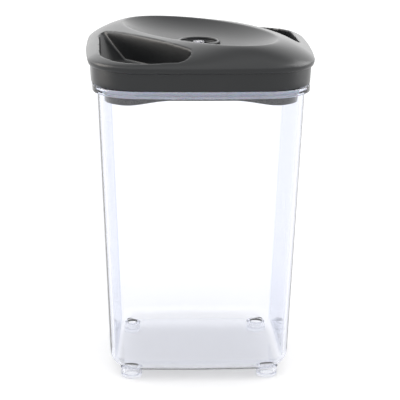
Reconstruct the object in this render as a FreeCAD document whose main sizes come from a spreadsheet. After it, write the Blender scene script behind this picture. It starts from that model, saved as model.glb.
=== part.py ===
"""Square vacuum canister with a lift-off lid: clear drafted body on four feet, a domed lid with an
oval bowl and two finger wells, and a spring-held vent valve in the middle of the lid.
Millimetres, +Z up, origin on the ground in the middle of the four feet, front face towards -Y."""
import FreeCAD, Part
import Sketcher
import math
import os

from FreeCAD import Placement, Rotation, Vector

DOC = FreeCAD.newDocument("canister")
SHEET = DOC.addObject("Spreadsheet::Sheet", "sizes")
Z_AXIS = Vector(0, 0, 1)
TOUCH = 1e-3                    # two heights closer than this are the same

# ---------------------------------------------------------------- driving dimensions (mm, degrees)
SIZES = {
    # canister body
    "body_top": 162.5,          # height of the rim that the lid rests on
    "base_half": 49.2,          # half the outside width at the underside
    "rim_half": 56.3,           # half the outside width at the rim: the walls have draft
    "base_corner": 17.0,        # outside corner radius at the underside
    "rim_corner": 22.0,         # outside corner radius at the rim
    "bow_radius": 500.0,        # the four sides bulge along this large radius
    "wall": 2.5,
    "foot_height": 5.0,         # gap under the base
    "floor_thick": 2.0,
    "base_round": 8.0,          # outside rounding between wall and base
    "floor_round": 4.5,         # inside rounding between wall and floor
    "collar_rise": 4.0,         # height of the thick band round the mouth
    "collar_proud": 2.6,        # how far that band stands out from the wall
    "collar_round": 1.0,
    "foot_radius": 5.65,
    "foot_bore": 3.7,           # the feet are moulded hollow, open to the inside
    "foot_skin": 1.8,
    "foot_inset": 12.2,         # feet stand this far in from the sides of the underside
    # lid cover
    "lid_gap": 0.1,             # running gap between the rim and the lid
    "band_draft": 0.5,          # the lid's straight band widens by this towards its top
    "band_height": 9.4,
    "crease_lip": 0.5,          # the dome overhangs the band by this
    "lid_corner": 30.0,         # corner radius of the shoulder, the band follows it inside
    "shoulder_out": 2.4,        # where it is widest the dome stands out from the band by this
    "shoulder_rise": 3.4,       # from the crease above the band up to the widest line
    "dome_rise": 9.9,           # from the widest line up to the crest
    "dome_side_power": 1.41,    # how round the dome is at the shoulder
    "dome_top_power": 1.53,     # how round the dome is at the crest
    "shell": 2.0,               # lid cover wall
    "bowl_half_width": 29.9,    # the crest of the bowl is an ellipse
    "bowl_half_length": 55.6,
    "bowl_turn": 126.7,         # direction of the long axis, from +X
    "bowl_depth": 8.5,
    # finger wells, one each side of the bowl
    "well_land": 5.6,           # land left between the bowl and the grip wall
    "well_side_rim": 7.8,       # from the dome's widest line in to the left or right wall
    "well_front_rim": 4.0,      # from the dome's widest line in to the front or rear wall
    "well_corner": 25.0,
    "well_end": 6.3,            # the wall at one end stands this far from the middle of the lid
    "well_end_corner": 7.0,     # between that wall and the front or rear wall
    "grip_corner": 5.0,         # between that wall and the grip wall
    "grip_bow": 250.0,          # the grip wall bows into the well along this radius
    "well_clear": 2.9,          # air between the well's floor and the plate under it
    "well_floor_half": 19.0,    # the flat floor ends this far along the grip wall, in a ramp
    "well_ramp": 2.1,           # run of the ramp for each millimetre of rise
    # lid base with its plug
    "plate_thick": 2.0,
    "plate_gap": 0.1,
    "plug_gap": 1.0,            # between the plug and the canister wall
    "plug_wall": 2.0,
    "plug_drop": 8.8,           # from the rim down to the lowest part of the plug
    "plug_arch": 3.0,           # the middle of each side is cut up by this
    "arch_half": 24.0,          # half the width of the flat top of that arch
    "arch_run": 12.0,           # sideways run of its sloping ends
    "gasket_height": 3.2,
    "gasket_depth": 1.2,        # how far the gasket's groove goes into the plug
    "gasket_gap": 0.25,         # between the gasket and the canister wall
    "gasket_top": 0.8,          # from the plate down to the groove
    # valve
    "ring_radius": 11.8,
    "ring_wall": 1.8,
    "ring_rise": 2.7,           # above the bowl floor
    "ring_land": 1.0,           # flat floor round the ring, where a pump's mouth reaches down
    "port_step": 0.8,           # the hole in the bowl floor is this much inside the ring's bore
    "spigot_wall": 1.4,
    "web_drop": 2.4,            # from the bowl floor down to the top of the guide web
    "web_thick": 1.6,
    "vent_radius": 1.2,
    "vent_edge": 0.9,           # from the vents to the wall of the cup they stand in
    "vent_count": 6.0,
    "boss_wall": 1.8,
    "o_ring_section": 0.9,
    "stem_radius": 1.5,
    "stem_gap": 0.08,           # running clearance of the stem in its two guides
    "knob_radius": 3.4,
    "knob_height": 3.0,
    "knob_sink": 0.5,           # the knob's top is this far under the ring's top
    "seal_cover": 0.4,          # the seal reaches past the vents by this
    "seal_thick": 1.5,
    "seal_gap": 0.05,           # between the closed seal and its seat
    "flange_margin": 1.25,      # the seal flange reaches past the spring by this
    "flange_thick": 1.0,
    "spring_play": 1.35,        # between the stem and the spring
    "spring_wire": 0.5,
    "spring_turns": 4.0,
    "valve_travel": 2.0,
    "clip_reach": 1.5,          # the clip stands out from the stem by this
    "clip_thick": 0.8,
    "clip_groove": 0.4,         # depth of the groove that the clip sits in
}


def fill_sheet():
    for row, (name, value) in enumerate(SIZES.items(), start=1):
        SHEET.set(f"A{row}", name)
        SHEET.set(f"B{row}", str(value))
        SHEET.setAlias(f"B{row}", name)
    DOC.recompute()


def size(name):
    """The value of one named cell."""
    return float(getattr(SHEET, name))


def bind(obj, **expressions):
    """Ties properties to the sheet: bind(box, Length="2 * wall"). Names are sheet aliases."""
    for prop, text in expressions.items():
        obj.setExpression(prop.replace("__", "."), with_sheet(text))


def with_sheet(text):
    """Puts the sheet's name before every alias in an expression."""
    words = text.replace("(", " ( ").replace(")", " ) ").split()
    return " ".join("sizes." + w if w in SIZES else w for w in words)


# ---------------------------------------------------------------- widths worked out from the sizes
FOOT_OFFSET = "( base_half - foot_inset )"
BAND_HALF = "( rim_half + collar_proud )"
SHOULDER_HALF = "( rim_half + collar_proud + shoulder_out )"
BAND_CORNER = "( lid_corner - shoulder_out )"
WELL_INNER = "( bowl_half_width + well_land )"
WELL_SIDE = f"( {SHOULDER_HALF} - well_side_rim )"
WELL_FRONT = f"( {SHOULDER_HALF} - well_front_rim )"
RING_BORE = "( ring_radius - ring_wall )"
PORT_RADIUS = f"( {RING_BORE} - port_step )"
SPIGOT_RADIUS = f"( {PORT_RADIUS} - plate_gap )"
CUP_RADIUS = f"( {SPIGOT_RADIUS} - spigot_wall )"
BOSS_BORE = f"( {SPIGOT_RADIUS} + 2 * o_ring_section )"
VENT_CIRCLE = f"( {CUP_RADIUS} - vent_edge - vent_radius )"
SEAL_RADIUS = f"( {VENT_CIRCLE} + vent_radius + seal_cover )"
SPRING_RADIUS = "( stem_radius + spring_play + spring_wire / 2 )"
FLANGE_RADIUS = f"( {SPRING_RADIUS} + spring_wire / 2 + flange_margin )"
CLIP_RADIUS = "( stem_radius + clip_reach )"
GROOVE_FLOOR = "( plug_gap + gasket_depth )"

# ---------------------------------------------------------------- heights worked out from the sizes
FLOOR_TOP = "foot_height + floor_thick"
LID_FOOT = "body_top + lid_gap"
CREASE = f"{LID_FOOT} + band_height"
WIDEST = f"{CREASE} + shoulder_rise"
CREST = f"{WIDEST} + dome_rise"
BOWL_FLOOR = f"{CREST} - bowl_depth"
PLATE_TOP = f"{LID_FOOT} + plate_thick"
WELL_FLOOR = f"( {PLATE_TOP} + well_clear + shell )"
PLUG_FOOT = "( body_top - plug_drop )"
WEB_FOOT = f"{BOWL_FLOOR} - web_drop - web_thick"
SEAL_FOOT = f"{PLATE_TOP} + seal_gap"
FLANGE_TOP = f"{SEAL_FOOT} + seal_thick + flange_thick"
CLIP_TOP = f"{LID_FOOT} - valve_travel - seal_gap"
GASKET_FOOT = f"( {LID_FOOT} - gasket_top - gasket_height )"
FLANGE_SKIN = "web_thick / 2"


def between(low, high, z):
    """A size that changes evenly from the underside to the rim, at height z."""
    return f"( {low} + ( {high} - {low} ) * ( {z} - foot_height ) / ( body_top - foot_height ) )"


def outer_half(z):
    return between("base_half", "rim_half", z)


def outer_corner(z):
    return between("base_corner", "rim_corner", z)


def value(text):
    """Works out an expression of sheet names as a plain number."""
    words = text.replace("(", " ( ").replace(")", " ) ").split()
    total = " ".join(repr(size(w)) if w in SIZES else w for w in words)
    return FreeCAD.Units.Quantity(total).Value


# ---------------------------------------------------------------- the bowed square outline
def corner_centre(half, corner, bow):
    """Distance from both axes of a corner arc that meets the side arcs smoothly."""
    # (c - half + bow)^2 + c^2 = (bow - corner)^2
    shift = bow - half
    return (-shift + math.sqrt(2 * (bow - corner) ** 2 - shift**2)) / 2


def outline_arcs(half, corner, bow):
    """The eight arcs of the outline, anticlockwise: side, corner, side, corner..."""
    centre = corner_centre(half, corner, bow)
    side_turn = math.atan2(centre, centre - half + bow)
    arcs = []
    for quarter in range(4):
        turn = quarter * math.pi / 2
        spin = Rotation(Z_AXIS, math.degrees(turn))
        side = Part.Circle(spin.multVec(Vector(half - bow, 0, 0)), Z_AXIS, bow)
        arcs.append(Part.ArcOfCircle(side, turn - side_turn, turn + side_turn))
        bend = Part.Circle(spin.multVec(Vector(centre, centre, 0)), Z_AXIS, corner)
        arcs.append(Part.ArcOfCircle(bend, turn + side_turn, turn + math.pi / 2 - side_turn))
    return arcs


def outline_radius(angle, half, corner, bow):
    """Distance from the centre to the same outline in one direction."""
    folded = abs((angle + math.pi / 4) % (math.pi / 2) - math.pi / 4)
    centre = corner_centre(half, corner, bow)
    side_turn = math.atan2(centre, centre - half + bow)
    meet = math.atan2(bow * math.sin(side_turn), half - bow + bow * math.cos(side_turn))
    if folded < meet:
        back = half - bow
        across = back * math.sin(folded)
        return back * math.cos(folded) + math.sqrt(bow**2 - across**2)
    along = centre * (math.cos(folded) + math.sin(folded))
    return along + math.sqrt(along**2 - 2 * centre**2 + corner**2)


def new_sketch(name, z="0", upright=None):
    """A sketch lying at height z, or standing upright across X or Y."""
    sketch = DOC.addObject("Sketcher::SketchObject", name)
    if upright:
        stand = Rotation(Vector(1, 0, 0), 90)
        turn = Rotation(Z_AXIS, 0 if upright == "X" else 90)
        sketch.Placement = Placement(Vector(), turn.multiply(stand))
    else:
        bind(sketch, Placement__Base__z=z)
    return sketch


def hold(sketch, kind, first, second, text):
    """Adds a distance or radius constraint that follows the sheet."""
    where = list(first) + list(second) if second else list(first)
    index = sketch.addConstraint(Sketcher.Constraint(kind, *where, value(text)))
    sketch.setExpression(f"Constraints[{index}]", with_sheet(text))


def draw_outline(sketch, half, corner, bow="bow_radius"):
    """Draws the bowed square in a sketch, fully tied to the sheet."""
    origin = (-1, 1)
    arcs = outline_arcs(value(half), value(corner), value(bow))
    ids = [sketch.addGeometry(arc, False) for arc in arcs]
    for here, after in zip(ids, ids[1:] + ids[:1]):
        sketch.addConstraint(Sketcher.Constraint("Tangent", here, 2, after, 1))
    sides, corners = ids[0::2], ids[1::2]
    for group, text in ((sides, bow), (corners, corner)):
        hold(sketch, "Radius", (group[0],), None, text)
        for other in group[1:]:
            sketch.addConstraint(Sketcher.Constraint("Equal", group[0], other))
    back = f"{bow} - ( {half} )"
    for turn, side in enumerate(sides):
        kind, axis = ("DistanceX", -1) if turn % 2 == 0 else ("DistanceY", -2)
        sketch.addConstraint(Sketcher.Constraint("PointOnObject", side, 3, axis))
        ends = ((side, 3), origin) if turn < 2 else (origin, (side, 3))
        hold(sketch, kind, *ends, back)


def draw_polygon(sketch, points):
    """A closed polygon whose corners are pairs of expressions from the origin."""
    corners = [Vector(value(x), value(y), 0) for x, y in points]
    ids = []
    for here, after in zip(corners, corners[1:] + corners[:1]):
        ids.append(sketch.addGeometry(Part.LineSegment(here, after), False))
    for here, after in zip(ids, ids[1:] + ids[:1]):
        sketch.addConstraint(Sketcher.Constraint("Coincident", here, 2, after, 1))
    for line, corner, (x, y) in zip(ids, corners, points):
        for kind, along, text in (("DistanceX", corner.x, x), ("DistanceY", corner.y, y)):
            ends = ((-1, 1), (line, 1)) if along >= 0 else ((line, 1), (-1, 1))
            hold(sketch, kind, *ends, text if along >= 0 else f"0 - ( {text} )")


# ---------------------------------------------------------------- Part objects
def solid(kind, name, at=("0", "0", "0"), **sizes):
    """A Part primitive tied to the sheet; at holds expressions for X, Y and Z."""
    made = DOC.addObject("Part::" + kind, name)
    for axis, text in zip("xyz", at):
        if text != "0":
            bind(made, **{f"Placement__Base__{axis}": text})
    bind(made, **sizes)
    return made


def disc(name, radius, z, height):
    return solid("Cylinder", name, ("0", "0", z), Radius=radius, Height=height)


def cut(name, base, tool):
    made = DOC.addObject("Part::Cut", name)
    made.Base, made.Tool = base, tool
    DOC.recompute()
    return made


def join(name, *pieces):
    made = DOC.addObject("Part::MultiFuse", name)
    made.Shapes = list(pieces)
    DOC.recompute()
    return made


def common(name, *pieces):
    made = DOC.addObject("Part::MultiCommon", name)
    made.Shapes = list(pieces)
    DOC.recompute()
    return made


def outline(name, z, half, corner):
    """A sketch of the bowed square at height z."""
    sketch = new_sketch(name, z)
    draw_outline(sketch, half, corner)
    return sketch


def loft(name, *sketches):
    made = DOC.addObject("Part::Loft", name)
    made.Sections = list(sketches)
    made.Solid = True
    made.Ruled = True
    DOC.recompute()
    return made


def prism(name, sketch, height, along=Z_AXIS, both_ways=False):
    """A sketch pushed straight up, or both ways along one direction."""
    made = DOC.addObject("Part::Extrusion", name)
    made.Base = sketch
    made.DirMode = "Custom"
    made.Dir = along
    made.Solid = True
    made.Symmetric = both_ways
    bind(made, LengthFwd=height)
    DOC.recompute()
    return made


def flat_edges(obj, z):
    """Numbers of the edges that lie flat at height z."""
    level = value(z)
    numbers = []
    for number, edge in enumerate(obj.Shape.Edges, start=1):
        box = edge.BoundBox
        if abs(box.ZMin - level) < TOUCH and abs(box.ZMax - level) < TOUCH:
            numbers.append(number)
    return numbers


def rounded(name, base, numbers, radius):
    made = DOC.addObject("Part::Fillet", name)
    made.Base = base
    made.Edges = [(number, value(radius), value(radius)) for number in numbers]
    DOC.recompute()
    return made


def free_shape(name, shape):
    """A Part::Feature for a free-form shape that no primitive gives."""
    made = DOC.addObject("Part::Feature", name)
    made.Shape = shape
    made.Placement = Placement()
    return made


def label(obj, name):
    obj.Label = name
    return obj


# ---------------------------------------------------------------- canister
def make_canister_body():
    top = "body_top"
    foot, floor, collar = "foot_height", FLOOR_TOP, "body_top - collar_rise"
    block = loft(
        "drafted_block",
        outline("underside", foot, "base_half", "base_corner"),
        outline("rim", top, "rim_half", "rim_corner"),
    )
    block = rounded("rounded_block", block, flat_edges(block, foot), "base_round")
    band = prism(
        "collar_band", outline("collar_outline", collar, "rim_half + collar_proud",
                               "rim_corner + collar_proud"), "collar_rise")
    band = rounded("rounded_collar", band, flat_edges(band, collar), "collar_round")
    feet = foot_cylinders("foot", "foot_radius", "0", FLOOR_TOP)
    outside = join("canister_outside", block, band, *feet)

    inside = loft(
        "inside_block",
        outline("floor", floor, f"{outer_half(floor)} - wall", f"{outer_corner(floor)} - wall"),
        outline("mouth", top, "rim_half - wall", "rim_corner - wall"),
    )
    inside = rounded("rounded_inside", inside, flat_edges(inside, floor), "floor_round")
    hollows = foot_cylinders("foot_hollow", "foot_bore", "foot_skin", f"{FLOOR_TOP} + floor_round")
    hollow = join("canister_inside", inside, *hollows)
    return label(cut("canister_body", outside, hollow), "canister_body")


def foot_cylinders(name, radius, z, top):
    """Four equal cylinders, one in each foot."""
    made = []
    for sx in (-1, 1):
        for sy in (-1, 1):
            at = (f"{sx} * {FOOT_OFFSET}", f"{sy} * {FOOT_OFFSET}", z)
            made.append(solid("Cylinder", f"{name}_{len(made) + 1}", at,
                              Radius=radius, Height=f"{top} - ( {z} )"))
    return made


# ---------------------------------------------------------------- lid cover
RING_POINTS = 72
DOME_STEPS = 7
BOWL_RINGS = (0.97, 0.9, 0.78, 0.62, 0.42)   # shares of the crest ellipse
BOWL_POWER = 3                               # a flat floor that steepens towards the crest
SHOULDER_STEPS = 4


def crest_radius(angle):
    """Distance from the centre to the bowl's elliptical crest."""
    turn = angle - math.radians(size("bowl_turn"))
    along = math.cos(turn) / size("bowl_half_length")
    across = math.sin(turn) / size("bowl_half_width")
    return 1 / math.hypot(along, across)


def level_ring(radius_at, z):
    """Evenly turned points of one closed level curve, from its radius in each direction."""
    points = []
    for step in range(RING_POINTS):
        angle = 2 * math.pi * step / RING_POINTS
        radius = radius_at(angle)
        points.append(Vector(radius * math.cos(angle), radius * math.sin(angle), z))
    return points


def skin_solid(rings):
    """A closed solid: a smooth cubic skin over the rings, with a flat cap at each end."""
    across = len(rings)
    poles = [list(column) for column in zip(*rings)]
    skin = Part.BSplineSurface()
    skin.buildFromPolesMultsKnots(
        poles,
        [1] * (RING_POINTS + 1), [4] + [1] * (across - 4) + [4],
        list(range(RING_POINTS + 1)), list(range(across - 2)),
        True, False, 3, 3,
    )
    side = skin.toShape()
    faces = [side]
    for edge in side.Edges:
        if edge.BoundBox.ZLength < TOUCH:
            faces.append(Part.Face(Part.Wire([edge])))
    shell = Part.Shell(faces)
    shell.sewShape()
    block = Part.Solid(shell)
    if block.Volume < 0:
        block.reverse()
    return block


def lid_outline(angle, half):
    corner = size("lid_corner") - value(SHOULDER_HALF) + half
    return outline_radius(angle, half, corner, size("bow_radius"))


def dome_sections(inset):
    """Level curves from the crease up over the crest and down into the bowl.
    inset is how far inside the outer skin this surface lies."""
    crease, widest = value(CREASE), value(WIDEST)
    crest = value(CREST) - inset
    shoulder = value(SHOULDER_HALF) - inset
    narrow = value(BAND_HALF) + size("band_draft") + size("crease_lip") - inset
    sections = []
    for step in range(SHOULDER_STEPS):
        turn = math.pi / 2 * step / SHOULDER_STEPS
        half = narrow + (shoulder - narrow) * math.sin(turn)
        z = widest - (widest - crease) * math.cos(turn)
        sections.append(level_ring(lambda a, half=half: lid_outline(a, half), z))
    for step in range(DOME_STEPS):
        turn = math.pi / 2 * step / (DOME_STEPS - 1)
        spread = math.cos(turn) ** size("dome_side_power") if turn < math.pi / 2 else 0.0
        z = widest + (crest - widest) * math.sin(turn) ** size("dome_top_power")

        def radius(angle, spread=spread):
            inner = crest_radius(angle)
            return inner + (lid_outline(angle, shoulder) - inner) * spread

        sections.append(level_ring(radius, z))
    for share in BOWL_RINGS:
        z = crest - size("bowl_depth") * (1 - share**BOWL_POWER)
        sections.append(level_ring(lambda a, share=share: share * crest_radius(a), z))
    return sections


def dome(name, inset):
    return free_shape(name, skin_solid(dome_sections(inset)))


def outline_prism(name, half, corner, z, height, widen=0.0):
    """A straight or drafted block with the lid's outline."""
    wires = []
    for grow, level in ((0.0, z), (widen, z + height)):
        arcs = outline_arcs(half + grow, corner + grow, size("bow_radius"))
        wire = Part.Wire([arc.toShape() for arc in arcs])
        wire.translate(Vector(0, 0, level))
        wires.append(wire)
    return free_shape(name, Part.makeLoft(wires, True, True))


def well_cutter(name, grow, turned):
    """The space of one finger well, or that space with its walls on when grow is their thickness.
    Seen from above it is the lid's corner, cut off by the bowed grip wall beside the bowl."""
    reach = "3 * rim_half"
    floor, top = f"{WELL_FLOOR} - {grow}", f"{CREST} + shell"
    rise = f"( {top} - ( {floor} ) )"
    space = solid(
        "Box", name + "_corner", (f"0 - {WELL_SIDE} - {grow}", f"0 - {WELL_FRONT} - {grow}", floor),
        Length=f"{WELL_SIDE} - well_end + 2 * {grow}", Width=reach, Height=rise,
    )
    DOC.recompute()
    side, end = (-1, -1), (1, -1)
    space = rounded(name + "_side", space, [upright_edge(space, *side)], f"well_corner + {grow}")
    space = rounded(name + "_end", space, [upright_edge(space, *end)], f"well_end_corner + {grow}")

    along_bowl = Rotation(Z_AXIS, size("bowl_turn") - 180)
    ramp = solid("Wedge", name + "_ramp")
    half = f"well_floor_half + {grow}"
    bind(
        ramp, Xmin=f"0 - ( {half} )", Xmax=reach, X2min=f"0 - ( {half} + well_ramp * {rise} )",
        X2max=reach, Ymin=floor, Ymax=top, Zmin="0", Zmax=reach, Z2min="0", Z2max=reach,
    )
    upright = Rotation(Vector(1, 0, 0), 90)
    ramp.Placement = Placement(Vector(), along_bowl.multiply(upright))
    space = common(name + "_over_ramp", space, ramp)
    grip = solid("Cylinder", name + "_grip", Radius=f"grip_bow - {grow}", Height=f"2 * ( {top} )")
    centre = along_bowl.multVec(Vector(0, value(f"grip_bow - {WELL_INNER}"), 0))
    grip.Placement = Placement(centre, Rotation())
    space = cut(name + "_beside_grip", space, grip)
    by_grip = (5, 1)            # mostly towards the end wall, and a little towards the rear
    space = rounded(name + "_space", space, [upright_edge(space, *by_grip)], f"grip_corner + {grow}")
    if turned:
        space.Placement = Placement(Vector(), Rotation(Z_AXIS, 180))
    DOC.recompute()
    return space


def upright_edge(obj, x, y):
    """Number of the upright edge that lies furthest in one level direction."""
    upright = {}
    for number, edge in enumerate(obj.Shape.Edges, start=1):
        box = edge.BoundBox
        if max(box.XLength, box.YLength) < TOUCH:
            upright[number] = box.Center.dot(Vector(x, y, 0))
    return max(upright, key=upright.get)


def make_lid_cover():
    foot, rise = value(LID_FOOT), size("band_height")
    half, corner = value(BAND_HALF), value(BAND_CORNER)
    draft, shell = size("band_draft"), size("shell")
    band = outline_prism("band", half, corner, foot, rise, draft)
    outside = join("lid_outside", band, dome("dome_outer", 0.0))
    hollow_band = outline_prism("band_hollow", half - shell, corner - shell, foot, rise, draft)
    hollow = join("lid_hollow", hollow_band, dome("dome_inner", shell))
    sides = (("front", False), ("rear", True))
    for side, turned in sides:
        walls = well_cutter(f"{side}_walls", "shell", turned)
        hollow = cut(f"hollow_past_{side}_well", hollow, walls)
    cover = cut("lid_shell", outside, hollow)
    for side, turned in sides:
        cover = cut(f"shell_with_{side}_well", cover, well_cutter(f"{side}_well", "0", turned))

    seat = disc("ring_seat", "ring_radius + ring_land", BOWL_FLOOR, "bowl_depth")
    port = disc("port", PORT_RADIUS, f"{BOWL_FLOOR} - 2 * shell", "3 * shell")
    cover = cut("lid_with_seat", cover, seat)
    return label(cut("lid_cover", cover, port), "lid_cover")


# ---------------------------------------------------------------- lid base, plug and gasket
def make_lid_base():
    inset = "( shell + plate_gap )"
    lying = outline("plate_outline", LID_FOOT, f"{BAND_HALF} - {inset}", f"{BAND_CORNER} - {inset}")
    plate = prism("plate", lying, "plate_thick")
    inside = "( plug_gap + plug_wall + gasket_depth )"
    depth = f"{LID_FOOT} - {PLUG_FOOT} + plate_thick / 2"
    plug = plug_block("plug", PLUG_FOOT, depth, "plug_gap")
    plug = cut("plug_skirt", plug, plug_block("plug_inside", PLUG_FOOT, depth, inside))
    groove = plug_block("groove_outside", GASKET_FOOT, "gasket_height", "0")
    core = plug_block("groove_core", GASKET_FOOT, "gasket_height", GROOVE_FLOOR)
    groove = cut("groove", groove, core)
    plug = cut("grooved_plug", plug, groove)
    for axis, along in (("X", Vector(0, 1, 0)), ("Y", Vector(1, 0, 0))):
        arch = new_sketch(f"arch_across_{axis}", upright=axis)
        low, high = PLUG_FOOT, f"{PLUG_FOOT} + plug_arch"
        wide = "( arch_half + arch_run )"
        draw_polygon(arch, [
            (f"0 - {wide}", low), (wide, low), ("arch_half", high), ("0 - arch_half", high),
        ])
        tunnel = prism(f"arch_tunnel_{axis}", arch, "3 * rim_half", along, both_ways=True)
        plug = cut(f"plug_arched_{axis}", plug, tunnel)

    boss_rise = f"{BOWL_FLOOR} - shell - ( {PLATE_TOP} )"
    boss = disc("boss_outside", f"{BOSS_BORE} + boss_wall", PLATE_TOP, boss_rise)
    boss = cut("valve_boss", boss, disc("boss_bore", BOSS_BORE, PLATE_TOP, "bowl_depth * 2"))
    guide = disc("base_guide", "stem_radius + stem_gap", f"{LID_FOOT} - plate_thick", "3 * plate_thick")
    holes = join("base_holes", guide, *vents("base_vent", LID_FOOT, "plate_thick"))
    return label(join("lid_base", cut("drilled_plate", plate, holes), plug, boss), "lid_base")


def plug_block(name, z, height, inset):
    """A straight block that stands inset from the canister's wall as it is at the plug's foot."""
    half = f"{outer_half(PLUG_FOOT)} - wall - {inset}"
    corner = f"{outer_corner(PLUG_FOOT)} - wall - {inset}"
    return prism(name, outline(name + "_outline", z, half, corner), height)


def vents(name, z, thick):
    """A circle of small air holes through a plate at height z."""
    holes = []
    count = int(size("vent_count"))
    for step in range(count):
        angle = 2 * math.pi * step / count
        across, along = round(math.cos(angle), 6), round(math.sin(angle), 6)
        at = (f"{across} * {VENT_CIRCLE}", f"{along} * {VENT_CIRCLE}", f"{z} - {thick}")
        hole = solid("Cylinder", f"{name}_{step + 1}", at, Radius="vent_radius")
        bind(hole, Height=f"3 * {thick}")
        holes.append(hole)
    return holes


def make_lid_gasket():
    """A silicone band in the plug's groove, with its outer face just clear of the canister."""
    out = "( wall + gasket_gap )"
    half, corner = f"{outer_half(GASKET_FOOT)} - {out}", f"{outer_corner(GASKET_FOOT)} - {out}"
    lying = outline("gasket_outline", GASKET_FOOT, half, corner)
    band = prism("gasket_outside", lying, "gasket_height")
    core = plug_block("gasket_core", GASKET_FOOT, "gasket_height", GROOVE_FLOOR)
    return label(cut("lid_gasket", band, core), "lid_gasket")


# ---------------------------------------------------------------- vent valve
def make_valve_collar():
    """A flanged cup set in the port: its ring stands above the bowl, its web guides the stem."""
    flange = disc("collar_flange", "ring_radius", BOWL_FLOOR, "ring_rise")
    spigot = disc("collar_spigot", SPIGOT_RADIUS, WEB_FOOT, f"web_thick + web_drop + {FLANGE_SKIN}")
    outside = join("collar_outside", flange, spigot)
    recess = disc("ring_recess", RING_BORE, f"{BOWL_FLOOR} + {FLANGE_SKIN}", "ring_rise")
    cup = disc("collar_cup", CUP_RADIUS, f"{BOWL_FLOOR} - web_drop", "web_drop + ring_rise")
    guide = disc("collar_guide", "stem_radius + stem_gap", f"{WEB_FOOT} - web_thick", "3 * web_thick")
    holes = join("collar_holes", recess, cup, guide, *vents("collar_vent", WEB_FOOT, "web_thick"))
    return label(cut("valve_collar", outside, holes), "valve_collar")


def make_port_o_ring():
    ring = solid("Torus", "port_o_ring", ("0", "0", f"{BOWL_FLOOR} - shell - o_ring_section"))
    bind(ring, Radius1=f"{SPIGOT_RADIUS} + o_ring_section", Radius2="o_ring_section")
    return ring


def make_valve_stem():
    """Knob, stem and seal flange turned in one piece, with a groove for the clip."""
    knob_top = f"{BOWL_FLOOR} + ring_rise - knob_sink"
    stem_foot = f"{CLIP_TOP} - 2 * clip_thick"
    flange_foot = f"{FLANGE_TOP} - flange_thick"
    length = f"{knob_top} - ( {stem_foot} ) - knob_height / 2"
    shaft = disc("shaft", "stem_radius", stem_foot, length)
    knob = disc("knob", "knob_radius", f"{knob_top} - knob_height", "knob_height")
    flange = disc("seal_flange", FLANGE_RADIUS, flange_foot, "flange_thick")
    whole = join("stem_outside", shaft, knob, flange)
    below = f"{CLIP_TOP} - 2 * clip_thick"
    sleeve = disc("clip_sleeve", CLIP_RADIUS, f"{CLIP_TOP} - clip_thick", "clip_thick")
    core = disc("clip_groove_core", "stem_radius - clip_groove", below, "3 * clip_thick")
    return label(cut("valve_stem", whole, cut("clip_groove_space", sleeve, core)), "valve_stem")


def make_valve_seal():
    seal = disc("seal_disc", SEAL_RADIUS, SEAL_FOOT, "seal_thick")
    hole = disc("seal_hole", "stem_radius", f"{SEAL_FOOT} - seal_thick", "3 * seal_thick")
    return label(cut("valve_seal", seal, hole), "valve_seal")


def make_stem_clip():
    """An open spring clip in the stem's groove: it stops the stem from rising further."""
    foot = f"{CLIP_TOP} - clip_thick"
    below = f"{foot} - clip_thick"
    ring = disc("clip_ring", CLIP_RADIUS, foot, "clip_thick")
    hole = disc("clip_hole", "stem_radius - clip_groove", below, "3 * clip_thick")
    slot = solid(
        "Box", "clip_slot", ("0", "0 - stem_radius / 2", below),
        Length=f"2 * {CLIP_RADIUS}", Width="stem_radius", Height="3 * clip_thick",
    )
    return label(cut("stem_clip", ring, join("clip_space", hole, slot)), "stem_clip")


def make_valve_spring():
    """A coil between the seal flange and the collar's web."""
    room = f"( {WEB_FOOT} - ( {FLANGE_TOP} ) - spring_wire )"
    coil = solid("Helix", "spring_line", ("0", "0", f"{FLANGE_TOP} + spring_wire / 2"))
    bind(coil, Radius=SPRING_RADIUS, Height=room, Pitch=f"{room} / spring_turns")
    start = (SPRING_RADIUS, "0", f"{FLANGE_TOP} + spring_wire / 2")
    wire = solid("Circle", "spring_section", start, Radius="spring_wire / 2")
    wire.Placement = Placement(wire.Placement.Base, Rotation(Vector(1, 0, 0), 90))
    DOC.recompute()
    spring = DOC.addObject("Part::Sweep", "valve_spring")
    spring.Sections = [wire]
    spring.Spine = (coil, [])
    spring.Solid = True
    spring.Frenet = True
    DOC.recompute()
    return spring


# ---------------------------------------------------------------- build and write
MAKERS = {
    "canister_body": make_canister_body,
    "lid_cover": make_lid_cover,
    "lid_base": make_lid_base,
    "lid_gasket": make_lid_gasket,
    "valve_collar": make_valve_collar,
    "port_o_ring": make_port_o_ring,
    "valve_stem": make_valve_stem,
    "valve_seal": make_valve_seal,
    "stem_clip": make_stem_clip,
    "valve_spring": make_valve_spring,
}


def check(nodes):
    """Stops the build if any object failed or any piece is not one sound solid."""
    for obj in DOC.Objects:
        if any(word in obj.State for word in ("Invalid", "Error")):
            raise RuntimeError(f"{obj.Name} failed: {obj.State}")
    for name, obj in nodes.items():
        shape = obj.Shape
        if shape.isNull() or not shape.isValid() or len(shape.Solids) != 1:
            raise RuntimeError(f"{name} is not one valid solid")


def main():
    fill_sheet()
    nodes = {name: make() for name, make in MAKERS.items()}
    DOC.recompute()
    check(nodes)
    os.makedirs("parts", exist_ok=True)
    for name, obj in nodes.items():
        obj.Shape.exportStep(f"parts/{name}.step")
        box = obj.Shape.BoundBox
        print(f"{name:14s} {obj.Shape.Volume / 1000:8.2f} cm3  z {box.ZMin:7.2f} to {box.ZMax:7.2f}")


main()
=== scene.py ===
# %% [markdown]
# # A square clear canister with a domed, vented lid
# The real thing is a food storage canister: a clear moulded body on four hollow feet, a dark lid with
# an oval bowl, two finger wells, and a small valve in the middle. This file starts from the engineering
# model, which fixes every size and every moving part, and gives each piece its finished shape and finish.

# %% Start from the engineering model
import math

import bmesh
import bpy
from mathutils import Matrix, Vector


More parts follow.
